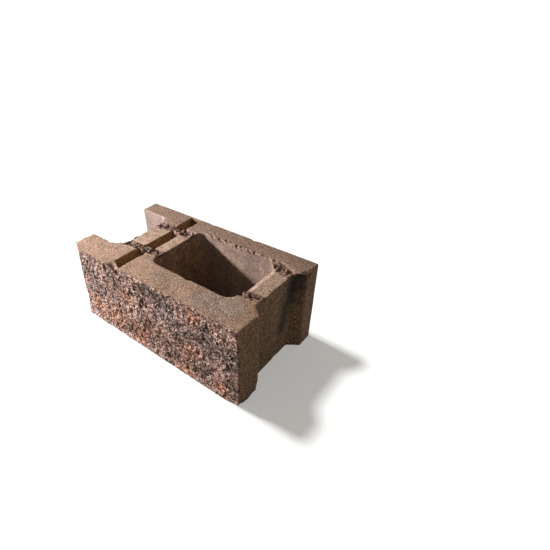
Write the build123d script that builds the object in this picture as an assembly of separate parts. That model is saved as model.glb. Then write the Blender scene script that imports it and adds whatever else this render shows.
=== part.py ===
from build123d import *
import os

# A split-face wall block cast as one piece: a rough front shell, a smooth rear shell and two webs.
# A groove across the top shows where the left end can be split off.
# X runs along the block, Y from the split face to the back, Z up. The origin is under the middle.

# Outer sizes in millimetres
block_length = 487
block_depth = 267
course_height = 200

# Shells on both sides of the cores
front_shell = 66
rear_shell = 45

# Half core that is open at the left end
half_core_depth = 91
half_core_radius = 28

# Closed core
left_web = 104
right_web = 44
core_radius = 24

# Splitting groove along the middle of the left web, closed at both ends, slanting at the front
groove_place = 137
groove_width = 28
groove_depth = 25
groove_front_rim = 6
groove_front_slant = 16
groove_rear_rim = 6

# Recess across the right end
recess_depth = 26
recess_front_shell = 59
recess_rear_shell = 44
recess_front_taper = 24
recess_rear_taper = 18
recess_radius = 10

# Right end leans in plan, and the left corner of the split face is broken away to the base
right_end_slant = 6
broken_length = 34
broken_depth = 17

# Web tops lie below the shell tops, and the right web falls away to the core
web_drop = 4
left_joint = 26
right_joint_front = 36
right_joint_rear = 20
web_bevel_width = 12
web_bevel_drop = 5

# Softened arrises
rear_corner_radius = 4
overrun = 10

# Places that follow from the sizes
left = -block_length / 2
right = block_length / 2
front = -block_depth / 2
rear = block_depth / 2
half_core_end = left + half_core_depth
core_left = half_core_end + left_web
recess_bottom = right - recess_depth
core_right = recess_bottom - right_web
core_front = front + front_shell
core_rear = rear - rear_shell


def prism(points, bottom, height, radius=0):
    outline = make_face(Polyline(*points, close=True))
    if radius > 0:
        outline = fillet(outline.vertices(), radius)
    return extrude(Pos(0, 0, bottom) * outline, amount=height, dir=(0, 0, 1))


def block_body():
    plan = [
        (left, front),
        (right - right_end_slant, front),
        (right, front + recess_front_shell),
        (right, rear),
        (left, rear),
    ]
    body = prism(plan, 0, course_height)
    corners = body.edges().filter_by(Axis.Z).group_by(Axis.Y)[-1]
    body = fillet(corners, rear_corner_radius)
    # Plane that takes off the left corner of the split face, widest at the top
    foot = Vector(left, front, 0)
    along = Vector(broken_length, 0, course_height)
    inward = Vector(0, broken_depth, course_height)
    return split(body, bisect_by=Plane(foot, along, along.cross(inward)), keep=Keep.BOTTOM)


def through_core(start, end, radius):
    plan = [
        (start, core_front),
        (end, core_front),
        (end, core_rear),
        (start, core_rear),
    ]
    return prism(plan, -overrun, course_height + 2 * overrun, radius)


def half_core():
    # Runs far enough past the open end to keep its round corners at the web
    return through_core(left - half_core_depth, half_core_end, half_core_radius)


def end_recess():
    # Flared mouth, then a flat bottom with round corners
    mouth = right + recess_depth
    plan = [
        (mouth, front + recess_front_shell - recess_front_taper),
        (mouth, rear - recess_rear_shell + recess_rear_taper),
        (recess_bottom, rear - recess_rear_shell - recess_rear_taper),
        (recess_bottom, front + recess_front_shell + recess_front_taper),
    ]
    return prism(plan, -overrun, course_height + 2 * overrun, recess_radius)


def splitting_groove():
    near_side = left + groove_place
    far_side = near_side + groove_width
    plan = [
        (near_side, front + groove_front_rim + groove_front_slant),
        (far_side, front + groove_front_rim),
        (far_side, rear - groove_rear_rim),
        (near_side, rear - groove_rear_rim),
    ]
    return prism(plan, course_height - groove_depth, groove_depth + overrun)


def web_trough(start, end, near, far):
    plan = [
        (start, near),
        (end, near),
        (end, far),
        (start, far),
    ]
    return prism(plan, course_height - web_drop, web_drop + overrun)


def web_bevel(near, far):
    # Strip along the core side of the right web
    level = course_height - web_drop
    section = Polyline(
        (core_right - overrun, near, level),
        (core_right + web_bevel_width, near, level),
        (core_right, near, level - web_bevel_drop),
        (core_right - overrun, near, level - web_bevel_drop),
        close=True,
    )
    return extrude(make_face(section), amount=far - near, dir=(0, 1, 0))


def concrete_block():
    solid = block_body()
    solid -= through_core(core_left, core_right, core_radius)
    solid -= half_core()
    solid -= end_recess()
    solid -= splitting_groove()
    near = core_front + left_joint
    far = core_rear - left_joint
    solid -= web_trough(half_core_end - overrun, core_left + overrun, near, far)
    near = core_front + right_joint_front
    far = core_rear - right_joint_rear
    solid -= web_trough(core_right - overrun, recess_bottom + overrun, near, far)
    solid -= web_bevel(near, far)
    return solid


os.makedirs("parts", exist_ok=True)
export_step(concrete_block(), "parts/concrete_block.step")
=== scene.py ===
import math
import bpy
import bmesh
from mathutils import Matrix, Vector, kdtree, noise
from mathutils.geometry import intersect_point_line


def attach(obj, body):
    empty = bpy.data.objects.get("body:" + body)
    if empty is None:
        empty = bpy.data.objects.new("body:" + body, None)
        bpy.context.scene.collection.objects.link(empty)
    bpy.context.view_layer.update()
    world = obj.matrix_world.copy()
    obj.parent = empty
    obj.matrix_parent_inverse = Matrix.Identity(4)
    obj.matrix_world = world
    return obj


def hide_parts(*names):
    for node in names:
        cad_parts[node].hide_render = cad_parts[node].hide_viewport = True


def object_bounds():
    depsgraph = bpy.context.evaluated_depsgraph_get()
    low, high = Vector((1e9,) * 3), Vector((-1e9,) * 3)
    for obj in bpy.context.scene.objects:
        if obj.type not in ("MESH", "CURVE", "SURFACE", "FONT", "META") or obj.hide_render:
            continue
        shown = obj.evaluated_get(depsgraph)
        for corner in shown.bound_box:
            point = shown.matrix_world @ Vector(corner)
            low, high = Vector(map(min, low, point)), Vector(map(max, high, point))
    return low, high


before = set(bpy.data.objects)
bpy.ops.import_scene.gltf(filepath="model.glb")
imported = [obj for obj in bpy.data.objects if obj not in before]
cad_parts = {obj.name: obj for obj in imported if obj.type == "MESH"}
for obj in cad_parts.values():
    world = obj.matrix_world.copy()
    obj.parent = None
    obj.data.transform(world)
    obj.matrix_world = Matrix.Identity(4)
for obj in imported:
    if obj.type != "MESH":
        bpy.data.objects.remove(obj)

scene = bpy.context.scene
scene.view_settings.view_transform = "Standard"
cadBox = [list(corner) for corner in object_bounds()]
low, high = Vector(cadBox[0]), Vector(cadBox[1])
print("frame loaded, box", cadBox)


def smooth(value, start, end):
    t = min(1.0, max(0.0, (value - start) / (end - start)))
    return t * t * (3 - 2 * t)


def inside(value, span):
    return span[0] < value < span[1]


def nearTop(p, start, end):
    # 0 further below the top than start, 1 once less far below it than end
    return smooth(p.z, high.z - start, high.z - end)


def ripple(point, size, shift):
    # soft noise from -1 to 1 with lumps of about that size in metres
    return noise.noise(point / size + Vector((shift, shift * 1.7, shift * 0.6)))


def ripples(point, waves):
    # soft noises added up, each with its height, size and shift
    return sum(height * ripple(point, size, shift) for height, size, shift in waves)


def rgb(red, green, blue):
    # a colour as a paint program gives it, made linear
    def linear(channel):
        c = channel / 255
        return c / 12.92 if c <= 0.04045 else ((c + 0.055) / 1.055) ** 2.4
    return (linear(red), linear(green), linear(blue), 1.0)


# lengths in metres; a noise is given as size and shift, or as height, size and shift
block = {
    "node": "concrete_block",

    # mesh
    "weld": 0.00001,
    "coplanar": 0.001,         # radians, faces flatter than this are one face
    "square": 0.999,           # a face lies square to an axis from here on
    "grid": 0.0048,            # mesh size on the cast faces
    "support": 0.0016,         # mesh line beside each arris
    "splitCuts": 2,            # finer by this on the split face and the torn joints
    "frontFacing": 0.7,
    "topFacing": 0.5,

    # arrises
    "arrisAngle": 0.5,
    "arrisSoft": 0.0006,
    "arrisRagged": [(0.0013, 0.0065, 7.3)],
    "chipReach": 0.006,
    "chipMost": 0.0024,
    "chipGrain": (0.016, 4.9),
    "chipFrom": (0.22, 0.75),  # noise at which a chip starts and is full
    "chipLess": 0.6,           # chips are smaller by this share on the split face

    # split face
    "splitReach": 0.020,       # how far behind the split face the relief dies out
    "splitFade": 1.5,
    "splitMean": 0.0032,
    "splitLeast": 0.0003,
    "splitMost": 0.0120,
    "splitEdge": 0.016,        # the relief is shallower this near the top and the base
    "splitEdgeShare": 0.3,     # what is left of it there
    "swells": [(0.0022, 0.080, 3.1), (0.0022, 0.034, 7.7)],
    "grit": [(0.0014, 0.0072, 1.3), (0.0012, 0.0036, 5.9)],
    "facetSize": 0.015,
    "facetRise": 0.0013,
    "facetTilt": 0.0030,
    "riseSpread": 3.7,         # these two keep facets side by side from being alike
    "tiltSpread": 5.3,
    "tiltShifts": (2.4, 11.8, 17.3),
    # the painted shade of the split face grows with its depth over this span
    "deepSpan": 0.008,
    "frontTurn": (0.15, 0.5),  # stone shows where a face is turned to the front by this
    "endSlant": 0.006,         # the right end leans in by this at the front
    "endBand": (0.002, 0.006), # stone shows this far round the ends
    "endWeight": (0.5, 0.9),

    # wear along the split face's arrises
    "wear": 0.0004,
    "breaks": [(0.0028, 0.019, 9.4)],
    "nicks": [(0.0014, 0.007, 4.4)],
    "wornReach": 0.006,        # worn strip along the front arris
    "wornLine": 0.002,
    "wornTop": (0.010, 0.0),
    "wornRagged": [(0.009, 0.013, 6.1)],
    "wornBase": (0.001, 0.008),
    "wornBaseShare": 0.8,
    "wornSide": (0.006, 0.020),
    "sharpUpTo": -0.078,       # the front arris is sharper to the left of here

    # broken left corner: cast skin at the top, stone below darkened with painted shade
    "brokenTurn": 0.3,
    "stonyBelow": (0.026, 0.014),
    "stonyWeight": (0.1, 0.4),
    "stonyShade": 0.85,

    # worn and broken corners: place, reach and what is lost there
    "corners": [
        ((0.2375, -0.1335, 0.0), 0.028, (-0.0030, 0.0030, 0.0012)),
        ((0.2435, -0.0745, 0.0), 0.040, (-0.0030, -0.0030, 0.0020)),
        ((0.2435, 0.0895, 0.2), 0.014, (-0.0040, 0.0030, -0.0050)),
        ((-0.0960, -0.1310, 0.2), 0.017, (0.0, 0.0, -0.0110)),
    ],
    "cornerRagged": 0.5,
    "cornerGrain": (0.008, 3.9),

    # torn concrete where the webs meet the shells: start, end and half width
    "torn": [
        ((-0.152, -0.041), (-0.046, -0.033), 0.016),
        ((-0.152, 0.060), (-0.046, 0.067), 0.016),
        ((0.174, -0.035), (0.218, -0.027), 0.015),
        ((0.172, 0.082), (0.218, 0.066), 0.016),
    ],
    "tornCore": 0.35,          # share of the half width that is torn in full
    "tornRagged": 0.4,
    "tornGrain": (0.012, 2.7),
    "tornBelow": (0.013, 0.008),
    "tornDepth": 0.0046,       # lumps lie round this depth under the shell tops
    "tornRise": 0.0046,
    "lumps": [(0.75, 0.0085, 8.8), (0.60, 0.0046, 3.3)],
    "tornShove": (0.0016, 0.0020),
    "tornAlong": (0.0070, 1.1),
    "tornAcross": (0.0070, 2.6),
    "rubbleRise": 0.002,       # torn concrete that chokes the groove lies higher by this
    # pitted arrises of the core and the half core
    "pitted": [
        ((-0.010, 0.0885), (0.160, 0.0885), 0.0042),
        ((-0.153, -0.040), (-0.153, 0.052), 0.0042),
    ],
    "pitGrain": (0.007, 6.6),
    "pitFrom": (-0.05, 0.35),

    # nothing cast is dead flat but the foot
    "castSkin": 0.0004,
    "waves": [(0.0004, 0.060, 5.5), (0.0002, 0.011, 7.1)],
    "foot": 0.006,

    # where the colours lie
    "sideTurn": (0.3, 0.8),
    "webFacing": 0.8,
    "webBelow": (0.015, 0.002),
    "groove": (-0.1075, -0.0775),
    "grooveTop": 0.001,
    "grooveFloor": 0.020,
    "grooveRim": 0.004,
    "halfCoreEnd": -0.150,
    "halfCore": (-0.0685, 0.0895),
    "coreAlong": (-0.049, 0.174),
    "coreRear": (0.080, 0.0895),
    "coreBloom": 0.6,
    "endFrom": 0.195,
    "endFade": 0.010,
    # dark run down the end recess, across the block and upwards
    "stain": ((0.080, 0.200), (0.045, 0.070)),
    "stainReach": 0.028,
    "stainRagged": [(0.010, 0.022, 1.8), (0.006, 0.008, 2.9)],
    # stone patches of the split face: along the block, upwards and reach
    "charcoal": [
        (-0.215, 0.152, 0.046), (-0.170, 0.112, 0.044), (-0.110, 0.172, 0.026), (0.005, 0.182, 0.030),
        (0.046, 0.160, 0.050), (0.074, 0.126, 0.044), (0.164, 0.136, 0.056), (0.210, 0.122, 0.050),
        (0.160, 0.052, 0.028), (0.228, 0.050, 0.026),
    ],
    "orange": [
        (-0.185, 0.048, 0.052), (-0.125, 0.042, 0.050), (-0.060, 0.128, 0.034), (-0.050, 0.036, 0.052),
        (-0.005, 0.070, 0.030), (0.128, 0.182, 0.030), (0.112, 0.074, 0.036), (0.094, 0.016, 0.034),
        (0.192, 0.024, 0.030), (-0.225, 0.184, 0.020),
    ],
    # warm and grey zones of the front shell's top: along the block, across it and reach
    "peach": [
        (-0.205, -0.112, 0.060), (-0.150, -0.116, 0.055), (-0.055, -0.098, 0.050), (0.000, -0.118, 0.026),
        (0.214, -0.122, 0.036),
    ],
    "grey": [(0.128, -0.098, 0.044), (0.168, -0.088, 0.046), (0.200, -0.084, 0.030)],
    "patchCore": 0.2,
    "patchRagged": 0.5,
    "patchGrain": 0.016,
    "patchShift": 90,          # gives each patch an outline of its own
}


def cutSkin():
    # copy of the solid's mesh with whole faces, then cut into a grid with a line beside each arris
    bm = bmesh.new()
    bm.from_mesh(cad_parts[block["node"]].data)
    bmesh.ops.remove_doubles(bm, verts=bm.verts, dist=block["weld"])
    bmesh.ops.dissolve_limit(bm, angle_limit=block["coplanar"], verts=bm.verts, edges=bm.edges)
    planes = set()
    for f in bm.faces:
        for axis in range(3):
            if abs(f.normal[axis]) > block["square"]:
                middle = f.calc_center_median()[axis]
                planes.add((axis, round(middle - math.copysign(block["support"], f.normal[axis]), 5)))
    for axis in range(3):
        length = high[axis] - low[axis]
        count = math.ceil(length / block["grid"])
        planes.update((axis, round(low[axis] + length * i / count, 5)) for i in range(1, count))
    for axis, place in sorted(planes):
        normal = Vector()
        normal[axis] = 1.0
        parts = bm.verts[:] + bm.edges[:] + bm.faces[:]
        bmesh.ops.bisect_plane(bm, geom=parts, dist=block["weld"], plane_co=normal * place, plane_no=normal)
    print("skin cut by", len(planes), "planes,", len(bm.faces), "faces")
    return bm


def refineSkin(bm):
    # finer mesh on the split face and the torn joints
    fine = {}
    for f in bm.faces:
        middle = f.calc_center_median()
        onSplit = -f.normal.y > block["frontFacing"] and middle.y < low.y + block["splitReach"]
        onTop = f.normal.z > block["topFacing"] and middle.z > high.z / 2
        if onSplit or (onTop and tornBand(middle) > 0):
            fine.update(dict.fromkeys(f.edges))
    bmesh.ops.subdivide_edges(bm, edges=list(fine), cuts=block["splitCuts"], use_grid_fill=True)
    bmesh.ops.triangulate(bm, faces=[f for f in bm.faces if len(f.verts) > 4])
    bm.normal_update()


def findArrises(bm):
    # the points on arrises, to be looked up by place, and the way into the block at each
    sharp = [e for e in bm.edges if e.is_convex and e.calc_face_angle(0) > block["arrisAngle"]]
    arrises = list(dict.fromkeys(v for e in sharp for v in e.verts))
    edges = kdtree.KDTree(len(arrises))
    for i, v in enumerate(arrises):
        edges.insert(v.co, i)
    edges.balance()
    return edges, [-v.normal for v in arrises]


def biteDepth(p):
    # depth of the split face: broad swells, broken facets, then grit
    flat = Vector((p.x, 0.0, p.z))
    spot = flat / block["facetSize"]
    seed = noise.voronoi(spot)[1][0]
    tilt = Vector([ripple(seed * block["tiltSpread"], 1.0, shift) for shift in block["tiltShifts"]])
    facet = block["facetRise"] * noise.noise(seed * block["riseSpread"])
    facet += block["facetTilt"] * tilt.dot(spot - seed)
    depth = block["splitMean"] + ripples(flat, block["swells"]) + facet + ripples(flat, block["grit"])
    toEdge = smooth(min(p.z - low.z, high.z - p.z), 0.0, block["splitEdge"])
    share = block["splitEdgeShare"]
    return min(block["splitMost"], max(block["splitLeast"], depth)) * (share + (1 - share) * toEdge)


def awayFrom(point, start, end):
    # distance to a straight stretch
    a, b = Vector((*start, 0.0)), Vector((*end, 0.0))
    along = intersect_point_line(point, a, b)[1]
    return (point - a.lerp(b, min(1.0, max(0.0, along)))).length


def tornBand(p):
    # 1 on a torn joint or in a pit, falling to 0 beside it
    most = 0.0
    flat = Vector((p.x, p.y, 0.0))
    for start, end, width in block["torn"]:
        away = awayFrom(flat, start, end)
        if away < width * 2:
            away += block["tornRagged"] * width * ripple(flat, *block["tornGrain"])
            most = max(most, 1 - smooth(away, block["tornCore"] * width, width))
    for start, end, width in block["pitted"]:
        away = awayFrom(flat, start, end)
        if away < width:
            pits = smooth(ripple(flat, *block["pitGrain"]), *block["pitFrom"])
            most = max(most, pits * (1 - smooth(away, block["tornCore"] * width, width)))
    return most


def patch(p, across, spots):
    # 1 inside the nearest of some ragged spots, placed along the block and across it or upwards
    most = 0.0
    for x, y, reach in spots:
        away = math.hypot(p.x - x, across - y)
        if away < reach * 1.6:
            away += block["patchRagged"] * reach * ripple(p, block["patchGrain"], x * block["patchShift"])
            most = max(most, 1 - smooth(away, block["patchCore"] * reach, reach))
    return most


def breakFront(p, normal, weight, move):
    # bites into the split face and wears its arrises; gives how far a point shows stone and its painted
    # shade, darker where it bites deeper
    depth = biteDepth(p)
    paintedShade = weight * (depth - block["splitMean"]) / block["deepSpan"] + 0.5
    move.y += weight * depth
    onFace = weight * smooth(-normal.y, *block["frontTurn"])
    toEnd = min(p.x - low.x, high.x - block["endSlant"] - p.x)
    onFace = max(onFace, smooth(weight, *block["endWeight"]) * (1 - smooth(toEnd, *block["endBand"])))
    if p.x < block["sharpUpTo"] and -normal.x > block["brokenTurn"]:
        stony = 1 - nearTop(p, *block["stonyBelow"])
        onFace = max(onFace, stony * smooth(weight, *block["stonyWeight"]))
        # painted shade on the stone of the broken corner
        paintedShade = max(paintedShade, block["stonyShade"] * stony)
    chip = block["wear"] + max(0.0, ripples(p, block["breaks"])) + ripples(p, block["nicks"])
    chip = max(0.0, chip)
    if p.x > block["sharpUpTo"]:
        worn = 1 - smooth(p.y, low.y, low.y + block["wornReach"])
        top = nearTop(p, *block["wornTop"])
        move.z -= top * worn * chip
        ragged = p.y - low.y + ripples(p, block["wornRagged"])
        onFace = max(onFace, top * (1 - smooth(ragged, block["wornLine"], block["wornReach"])))
    move.z += weight * (1 - smooth(p.z, *block["wornBase"])) * chip * block["wornBaseShare"]
    for side, edge in ((1, low.x), (-1, high.x)):
        move.x += side * weight * (1 - smooth(abs(p.x - edge), *block["wornSide"])) * chip
    return onFace, paintedShade


def wearArris(p, weight, toArris, way, move):
    # soft arrises with a chip here and there, then the worn corners
    if toArris < block["chipReach"]:
        chip = block["chipMost"] * smooth(ripple(p, *block["chipGrain"]), *block["chipFrom"])
        chip *= 1 - smooth(toArris, 0.0, block["chipReach"])
        soft = 0.0
        if toArris < block["weld"]:
            soft = block["arrisSoft"] + max(0.0, ripples(p, block["arrisRagged"]))
        move += way * (soft + chip * (1 - block["chipLess"] * weight))
    for corner, reach, lost in block["corners"]:
        off = (p - Vector(corner)).length
        if off < reach:
            ragged = 1 + block["cornerRagged"] * ripple(p, *block["cornerGrain"])
            move += Vector(lost) * (1 - smooth(off, 0.0, reach)) * ragged


def tearJoint(p, normal, paintedShade, move):
    # lumps on the torn joints and rubble in the groove; gives how far the point is torn, and its painted
    # shade, darker the lower it lies
    torn = tornBand(p) if p.z > high.z / 2 else 0.0
    inGroove = normal.z > block["topFacing"] and p.z < high.z - block["grooveFloor"]
    if not inGroove:
        torn *= nearTop(p, *block["tornBelow"])
    if torn > 0:
        lump = ripples(p, block["lumps"])
        level = high.z - block["tornDepth"] + block["tornRise"] * lump
        if inGroove:
            level += block["rubbleRise"]
        move.z += torn * (level - p.z)
        move.x += torn * block["tornShove"][0] * ripple(p, *block["tornAlong"])
        move.y += torn * block["tornShove"][1] * ripple(p, *block["tornAcross"])
        # painted shade: the lower a lump lies, the darker it is
        paintedShade = 0.5 - 0.5 * lump
    return torn, paintedShade


def colourMasks(p, normal, weight, toArris):
    # where each colour of the finish lies, from 0 to 1
    run = 1.0
    if p.x > block["endFrom"]:
        away = awayFrom(Vector((p.y, p.z, 0.0)), *block["stain"])
        away += ripples(p, block["stainRagged"])
        run = smooth(away, 0.0, block["stainReach"])
    far, near = block["webBelow"]
    onWeb = normal.z > block["webFacing"] and high.z - far < p.z < high.z - near
    inSlot = inside(p.x, block["groove"]) and high.z / 2 < p.z < high.z - block["grooveTop"]
    inHalf = p.x < block["halfCoreEnd"] and inside(p.y, block["halfCore"])
    onCoreRear = inside(p.x, block["coreAlong"]) and inside(p.y, block["coreRear"])
    return {
        "side": 1 - smooth(abs(normal.z), *block["sideTurn"]),
        "web": 1.0 if onWeb else 0.0,
        # the inside of the groove, which the finish darkens as painted shade
        "groove": 1.0 if inSlot and abs(p.y) < high.y - block["grooveRim"] else 0.0,
        "bloom": 1.0 if inHalf else block["coreBloom"] if onCoreRear else 0.0,
        "stain": 1 - run,
        "charcoal": patch(p, p.z, block["charcoal"]) if weight > 0 else 0.0,
        "orange": patch(p, p.z, block["orange"]) if weight > 0 else 0.0,
        "peach": patch(p, p.y, block["peach"]),
        "grey": patch(p, p.y, block["grey"]),
        # arris points, paler in the finish: part wear, part painted highlight
        "worn": 1.0 if toArris < block["weld"] else 0.0,
        "end": smooth(p.x, block["endFrom"] - block["endFade"], block["endFrom"]),
    }


def makeBlock():
    bm = cutSkin()
    refineSkin(bm)
    edges, inward = findArrises(bm)
    print("skin ready,", len(bm.verts), "points,", len(inward), "on arrises")

    values = {}
    places = []
    for v in bm.verts:
        p = v.co.copy()
        normal = v.normal.copy()
        move = Vector()
        onFace, paintedShade = 0.0, 0.5
        weight = (1 - smooth(p.y, low.y, low.y + block["splitReach"])) ** block["splitFade"]
        if weight > 0:
            onFace, paintedShade = breakFront(p, normal, weight, move)
        index, toArris = edges.find(p)[1:]
        wearArris(p, weight, toArris, inward[index], move)
        torn, paintedShade = tearJoint(p, normal, paintedShade, move)
        if p.z > block["foot"]:
            move -= normal * (block["castSkin"] + ripples(p, block["waves"]))
        place = p + move
        for axis in range(3):
            place[axis] = min(high[axis], max(low[axis], place[axis]))
        places.append(place)
        masks = {"split": onFace, "torn": torn, "paintedShade": paintedShade, **colourMasks(p, normal, weight, toArris)}
        for name, value in masks.items():
            values.setdefault(name, []).append(value)

    for v, place in zip(bm.verts, places):
        v.co = place
    for f in bm.faces:
        f.smooth = True
    mesh = bpy.data.meshes.new("concreteBlock")
    bm.to_mesh(mesh)
    bm.free()
    for name, numbers in values.items():
        layer = mesh.attributes.new(name, "FLOAT", "POINT")
        layer.data.foreach_set("value", numbers)
    piece = bpy.data.objects.new("concreteBlock", mesh)
    scene.collection.objects.link(piece)
    print("block made,", sum(len(f.vertices) - 2 for f in mesh.polygons), "triangles")
    return piece


class Wire:
    # a socket of a node tree that can be added, taken away and multiplied
    def __init__(self, tree, socket=None):
        self.tree = tree
        self.socket = socket

    def node(self, kind, settings={}, sockets={}, out=0):
        made = self.tree.nodes.new(kind)
        for name, value in settings.items():
            setattr(made, name, value)
        for name, value in sockets.items():
            if isinstance(value, Wire):
                self.tree.links.new(value.socket, made.inputs[name])
            else:
                made.inputs[name].default_value = value
        return Wire(self.tree, made.outputs[out] if made.outputs else None)

    def math(self, operation, first, second):
        return self.node("ShaderNodeMath", {"operation": operation}, {0: first, 1: second})

    def __add__(self, other):
        return self.math("ADD", self, other)

    def __radd__(self, other):
        return self.math("ADD", other, self)

    def __sub__(self, other):
        return self.math("SUBTRACT", self, other)

    def __rsub__(self, other):
        return self.math("SUBTRACT", other, self)

    def __mul__(self, other):
        return self.math("MULTIPLY", self, other)

    def __rmul__(self, other):
        return self.math("MULTIPLY", other, self)

    def step(self, start, end):
        # 0 below start, 1 above end, soft between
        return self.node("ShaderNodeMapRange", {"interpolation_type": "SMOOTHSTEP"},
                         {"Value": self, "From Min": start, "From Max": end})

    def mix(self, first, second, blend="MIX"):
        # this value picks between two colours
        return self.node("ShaderNodeMix", {"data_type": "RGBA", "blend_type": blend},
                         {0: self, 6: first, 7: second}, 2)


def newMaterial(name):
    material = bpy.data.materials.new(name)
    material.use_nodes = True
    material.node_tree.nodes.clear()
    return material, Wire(material.node_tree)


concrete = {
    # cast tops
    "sand": rgb(180, 146, 126),
    "earth": rgb(146, 116, 97),
    "pink": rgb(192, 158, 144),
    "rust": rgb(176, 126, 88),
    "ash": rgb(150, 134, 122),
    "peach": rgb(180, 142, 118),
    "grey": rgb(156, 140, 130),
    "dusk": rgb(122, 97, 80),
    "darkGrain": rgb(80, 57, 44),
    "paleGrain": rgb(228, 204, 188),
    "webTop": rgb(202, 170, 150),
    # upright cast faces
    "wall": rgb(174, 134, 105),
    "wallDark": rgb(116, 85, 60),
    "wallMurk": rgb(84, 58, 40),
    "bloom": rgb(156, 145, 149),
    # painted shade for the inside of the groove, in a browner tone
    "grooveShade": rgb(146, 112, 62),
    "stain": rgb(34, 27, 23),
    # split face and torn joints
    "charcoal": rgb(64, 56, 58),
    "slate": rgb(134, 108, 104),
    "blush": rgb(194, 146, 130),
    "orange": rgb(206, 130, 86),
    "chipDark": rgb(54, 33, 25),
    "chipShade": rgb(110, 76, 67),
    "chipLight": rgb(206, 180, 172),
    "chipPale": rgb(248, 216, 206),
    "tornDark": rgb(92, 68, 58),
    "tornPale": rgb(166, 136, 124),
    # noise clouds: scale, detail, roughness and shift
    "clouds": {
        "sand": (400, 3, 0.75, None),
        "mottle": (75, 4, 0.68, (0.4, 2.2, 1.1)),
        "earth": (12, 4, 0.55, None),
        "pink": (8, 2, 0.55, (1.4, 0.3, 2.0)),
        "rust": (9, 3, 0.55, (3.1, 1.2, 0.4)),
        "ash": (14, 3, 0.55, (0.7, 5.2, 2.4)),
        "runs": (38, 3, 0.5, (0.2, 0.9, 0.0)),
        "dust": (420, 3, 0.7, None),
        "specks": (270, 3, 0.75, (2.8, 0.4, 3.6)),
        "slate": (34, 4, 0.6, (2.3, 0.6, 4.1)),
        "patches": (80, 4, 0.7, (5.0, 2.1, 1.3)),
        "shards": (230, 3, 0.7, (1.9, 3.3, 0.8)),
        "blotch": (105, 3, 0.65, (4.4, 1.7, 2.9)),
        "crumbs": (260, 3, 0.55, None),
        "coarse": (260, 4, 0.65, None),
        "fine": (900, 2, 0.6, None),
        "sheen": (60, 2, 0.55, None),
    },
    "runStretch": (1.0, 1.0, 0.12),
    "duskFrom": (0.04, 0.12),        # the tops darken across the block, towards the back
    "grooveEndShade": (0.112, 0.124),     # painted shade at the far end of the groove
    "chipScale": 240.0,
    "chipBend": 0.004,
    "bendScale": 300,
    "sandRelief": 0.45,
    "fineRelief": 0.3,
    "stoneRelief": 1.7,
    "bumpStrength": 0.7,
    "bumpHeight": 0.0012,
    "roughness": 0.9,
    "roughnessVaries": 0.12,
    "specular": 0.25,
}


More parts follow.
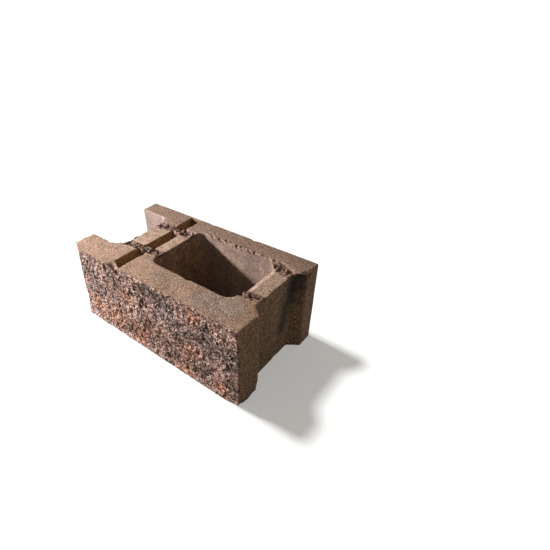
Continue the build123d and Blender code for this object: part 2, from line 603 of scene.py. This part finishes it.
def concreteFinish():
    material, w = newMaterial("concrete")
    place = w.node("ShaderNodeTexCoord", out="Object")

    def cloud(name, stretch=(1.0, 1.0, 1.0)):
        scale, detail, rough, shift = concrete["clouds"][name]
        spot = place
        if shift:
            spot = w.node("ShaderNodeMapping", {}, {"Vector": place, "Location": shift, "Scale": stretch})
        return w.node("ShaderNodeTexNoise", {}, {"Vector": spot, "Scale": scale, "Detail": detail,
                                                 "Roughness": rough})

    def mask(name):
        return w.node("ShaderNodeAttribute", {"attribute_name": name}, out="Fac")

    split, torn, paintedShade, side = [mask(n) for n in ("split", "torn", "paintedShade", "side")]
    web, groove, bloom, stain = [mask(n) for n in ("web", "groove", "bloom", "stain")]
    charcoal, orange, peach, grey = [mask(n) for n in ("charcoal", "orange", "peach", "grey")]
    worn, end = [mask(n) for n in ("worn", "end")]

    # cast tops: sandy tan with pink, rust and ash clouds, warm and grey zones
    sand = cloud("sand")
    mottle = cloud("mottle")
    tone = cloud("earth").step(0.36, 0.64).mix(concrete["earth"], concrete["sand"])
    tone = (cloud("pink").step(0.52, 0.70) * 0.6).mix(tone, concrete["pink"])
    tone = (cloud("rust").step(0.50, 0.66) * 0.3).mix(tone, concrete["rust"])
    tone = (cloud("ash").step(0.52, 0.68) * 0.5).mix(tone, concrete["ash"])
    tone = ((peach + (mottle - 0.5) * 1.2).step(0.1, 0.8) * 0.8).mix(tone, concrete["peach"])
    tone = ((grey + (mottle - 0.5) * 1.2).step(0.1, 0.8) * 0.7).mix(tone, concrete["grey"])
    tone = (web * 0.75).mix(tone, concrete["webTop"])
    across = w.node("ShaderNodeSeparateXYZ", {}, {0: place}, "Y")
    tone = (across.step(*concrete["duskFrom"]) * 0.65).mix(tone, concrete["dusk"])
    tone = (mottle.step(0.46, 0.64) * 0.65).mix(tone, concrete["dusk"])

    # upright cast faces: smooth walls with soft stains that run down
    runs = cloud("runs", concrete["runStretch"])
    wall = runs.step(0.40, 0.66).mix(concrete["wall"], concrete["wallDark"])
    wall = (mottle.step(0.42, 0.62) * 0.75).mix(wall, concrete["wallMurk"])
    tone = (side * 0.85).mix(tone, wall)
    tone = (bloom * 0.6).mix(tone, concrete["bloom"])
    # painted shade: the inside of the groove darker and browner
    tone = (groove * 0.8).mix(tone, concrete["grooveShade"])
    # painted shade at the groove's far end, where its rim would catch light
    tone = (groove * across.step(*concrete["grooveEndShade"]) * 0.9).mix(tone, concrete["wallMurk"])

    # grains in the walls, coarser ones on the recessed end, then grains all over
    grains = 1 - side * 0.5 - bloom * 0.3
    dust = cloud("dust")
    tone = ((side - bloom * 0.7) * dust.step(0.52, 0.64) * 0.5).mix(tone, concrete["paleGrain"])
    tone = ((side - bloom * 0.7) * (1 - dust.step(0.36, 0.48)) * 0.5).mix(tone, concrete["darkGrain"])
    specks = cloud("specks")
    tone = (side * end * specks.step(0.52, 0.62) * 0.45).mix(tone, concrete["paleGrain"])
    tone = (side * end * (1 - specks.step(0.38, 0.48)) * 0.85).mix(tone, concrete["stain"])
    tone = (sand.step(0.52, 0.62) * grains * 0.8).mix(tone, concrete["paleGrain"])
    tone = ((1 - sand.step(0.38, 0.48)) * grains * 0.9).mix(tone, concrete["darkGrain"])
    tone = (stain * side * runs.step(0.12, 0.42) * 0.95).mix(tone, concrete["stain"])
    # pale arrises in spots: part wear, part painted highlight
    tone = (worn * mottle.step(0.36, 0.58) * 0.55).mix(tone, concrete["paleGrain"])

    # split face: patches of charcoal, slate, blush and orange stone
    stone = cloud("slate").step(0.40, 0.60).mix(concrete["slate"], concrete["blush"])
    patches = cloud("patches")
    stone = ((orange + (patches - 0.5) * 1.4).step(0.15, 0.85) * 0.85).mix(stone, concrete["orange"])
    stone = ((charcoal + (0.5 - patches) * 1.4).step(0.15, 0.85) * 0.85).mix(stone, concrete["charcoal"])

    # its chips: lighter and darker shards and blotches, then single pale and dark ones
    shards = cloud("shards")
    stone = (shards.step(0.50, 0.60) * 0.9).mix(stone, concrete["chipLight"], "SCREEN")
    stone = (1 - shards.step(0.38, 0.49)).mix(stone, concrete["chipShade"], "MULTIPLY")
    blotch = cloud("blotch")
    stone = (blotch.step(0.54, 0.68) * 0.5).mix(stone, concrete["chipLight"], "SCREEN")
    stone = (1 - blotch.step(0.34, 0.50)).mix(stone, concrete["chipShade"], "MULTIPLY")
    bend = w.node("ShaderNodeTexNoise", {}, {"Vector": place, "Scale": concrete["bendScale"]}, "Color")
    bent = w.node("ShaderNodeMix", {"data_type": "VECTOR"}, {0: concrete["chipBend"], 4: place, 5: bend}, 1)
    chips = w.node("ShaderNodeTexVoronoi", {}, {"Vector": bent, "Scale": concrete["chipScale"]}, "Color")
    core = 1 - Wire(w.tree, chips.socket.node.outputs["Distance"]).step(0.25, 0.60)
    pick = w.node("ShaderNodeSeparateColor", {}, {"Color": chips})
    stone = (pick.step(0.58, 0.70) * core * 0.9).mix(stone, concrete["chipPale"])
    stone = ((1 - pick.step(0.24, 0.36)) * core * 0.9).mix(stone, concrete["chipDark"])
    stone = ((1 - sand.step(0.38, 0.50)) * 0.65).mix(stone, concrete["chipDark"])
    # painted shade: the split face darker where it bites deeper
    stone = (paintedShade.step(0.52, 0.85) * 0.7).mix(stone, concrete["chipDark"])
    tone = split.step(0.25, 0.7).mix(tone, stone)

    # torn joints: pale crumbs over dark gaps, the gaps darkened as painted shade where they lie lower
    crumbs = (paintedShade + (cloud("crumbs") - 0.5)).step(0.15, 0.60).mix(concrete["tornPale"], concrete["tornDark"])
    tone = torn.step(0.15, 0.6).mix(tone, crumbs)

    # grain in the surface
    height = sand * concrete["sandRelief"] * grains + cloud("fine") * concrete["fineRelief"]
    height = height + (split + torn) * cloud("coarse") * concrete["stoneRelief"]
    bump = w.node("ShaderNodeBump", {}, {"Height": height, "Strength": concrete["bumpStrength"],
                                         "Distance": concrete["bumpHeight"]})
    rough = concrete["roughness"] - cloud("sheen") * concrete["roughnessVaries"]
    surface = w.node("ShaderNodeBsdfPrincipled", {}, {"Base Color": tone, "Roughness": rough, "Normal": bump,
                                                      "Specular IOR Level": concrete["specular"]})
    w.node("ShaderNodeOutputMaterial", {}, {"Surface": surface})
    return material


studio = {
    "floorSize": 40.0,
    "white": (1.0, 1.0, 1.0, 1.0),
    "floorUnseen": (0.12, 0.095, 0.06, 1.0),   # what the floor throws back at the block
    "shadowShare": 0.68,
    "sunTowards": (-0.74, -0.04, 1.0),
    "sunStrength": 4.2,
    "sunAngle": 9.5,
    "fill": 0.19,
    "fillColour": (1.0, 0.93, 0.72, 1.0),
    "keyAim": (0.0, 0.0, 0.12),
    "keyTowards": (-1.0, -0.52, 0.50),
    "keyDistance": 1.45,
    "keySize": 0.13,
    "keyPower": 44.0,
    "keyColour": (1.0, 0.97, 0.95),
}


def seenRays(w):
    # camera, glossy and transmitted rays see the white ground
    rays = w.node("ShaderNodeLightPath")
    outs = rays.socket.node.outputs
    seen = Wire(w.tree, outs["Is Camera Ray"]) + Wire(w.tree, outs["Is Glossy Ray"])
    seen = seen + Wire(w.tree, outs["Is Transmission Ray"])
    return seen.node("ShaderNodeClamp", {}, {"Value": seen})


def makeFloor():
    bm = bmesh.new()
    bmesh.ops.create_grid(bm, x_segments=1, y_segments=1, size=studio["floorSize"] / 2)
    mesh = bpy.data.meshes.new("floor")
    bm.to_mesh(mesh)
    bm.free()
    floor = bpy.data.objects.new("floor", mesh)
    scene.collection.objects.link(floor)
    material, w = newMaterial("paleFloor")
    seen = seenRays(w)
    plain = w.node("ShaderNodeBsdfDiffuse", {}, {"Color": seen.mix(studio["floorUnseen"], studio["white"])})
    glow = w.node("ShaderNodeEmission", {}, {"Color": studio["white"], "Strength": 1.0})
    both = w.node("ShaderNodeMixShader", {}, {0: seen * (1 - studio["shadowShare"]), 1: plain, 2: glow})
    w.node("ShaderNodeOutputMaterial", {}, {"Surface": both})
    floor.data.materials.append(material)
    return floor


def makeWorld():
    world = bpy.data.worlds.new("studioWorld")
    world.use_nodes = True
    world.node_tree.nodes.clear()
    w = Wire(world.node_tree)
    white = w.node("ShaderNodeBackground", {}, {"Color": studio["white"], "Strength": 1.0})
    fill = w.node("ShaderNodeBackground", {}, {"Color": studio["fillColour"], "Strength": studio["fill"]})
    both = w.node("ShaderNodeMixShader", {}, {0: seenRays(w), 1: fill, 2: white})
    w.node("ShaderNodeOutputWorld", {}, {"Surface": both})
    scene.world = world


def lightOnly(lamp, lit):
    # the lamp lights this one object and no other
    only = bpy.data.collections.new(lamp.name + "Lit")
    only.objects.link(lit)
    lamp.light_linking.receiver_collection = only


def makeSun(floor):
    # lights the floor alone: the block's shadow on it is short and soft
    lamp = bpy.data.lights.new("sun", "SUN")
    lamp.energy = studio["sunStrength"]
    lamp.angle = math.radians(studio["sunAngle"])
    sun = bpy.data.objects.new("sun", lamp)
    sun.rotation_euler = Vector(studio["sunTowards"]).to_track_quat("Z", "Y").to_euler()
    scene.collection.objects.link(sun)
    lightOnly(sun, floor)


def makeKey(piece):
    # lights the block alone, from low on the left
    lamp = bpy.data.lights.new("key", "AREA")
    lamp.shape = "DISK"
    lamp.size = studio["keySize"]
    lamp.energy = studio["keyPower"]
    lamp.color = studio["keyColour"]
    key = bpy.data.objects.new("key", lamp)
    towards = Vector(studio["keyTowards"]).normalized()
    key.location = Vector(studio["keyAim"]) + towards * studio["keyDistance"]
    key.rotation_euler = towards.to_track_quat("Z", "Y").to_euler()
    scene.collection.objects.link(key)
    lightOnly(key, piece)


view = {
    "place": (0.5316, -0.5046, 0.6543),
    "turn": 40.514,
    "down": 38.779,
    "roll": -2.013,
    "lens": 25.928,
    "sensor": 36.0,
    "shift": (0.0909, 0.0455),
    "clipStart": 0.01,
}


def makeCamera():
    camera = bpy.data.cameras.new("camera")
    camera.sensor_width = view["sensor"]
    camera.lens = view["lens"]
    camera.shift_x, camera.shift_y = view["shift"]
    camera.clip_start = view["clipStart"]
    eye = bpy.data.objects.new("camera", camera)
    turn = Matrix.Rotation(math.radians(view["turn"]), 4, "Z")
    tip = Matrix.Rotation(math.radians(90 - view["down"]), 4, "X")
    roll = Matrix.Rotation(math.radians(view["roll"]), 4, "Z")
    eye.matrix_world = Matrix.Translation(view["place"]) @ turn @ tip @ roll
    scene.collection.objects.link(eye)
    scene.camera = eye


piece = makeBlock()
piece.data.materials.append(concreteFinish())
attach(piece, "root")
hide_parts(block["node"])
print("block finished")
makeSun(makeFloor())
makeWorld()
makeKey(piece)
makeCamera()
print("studio set")
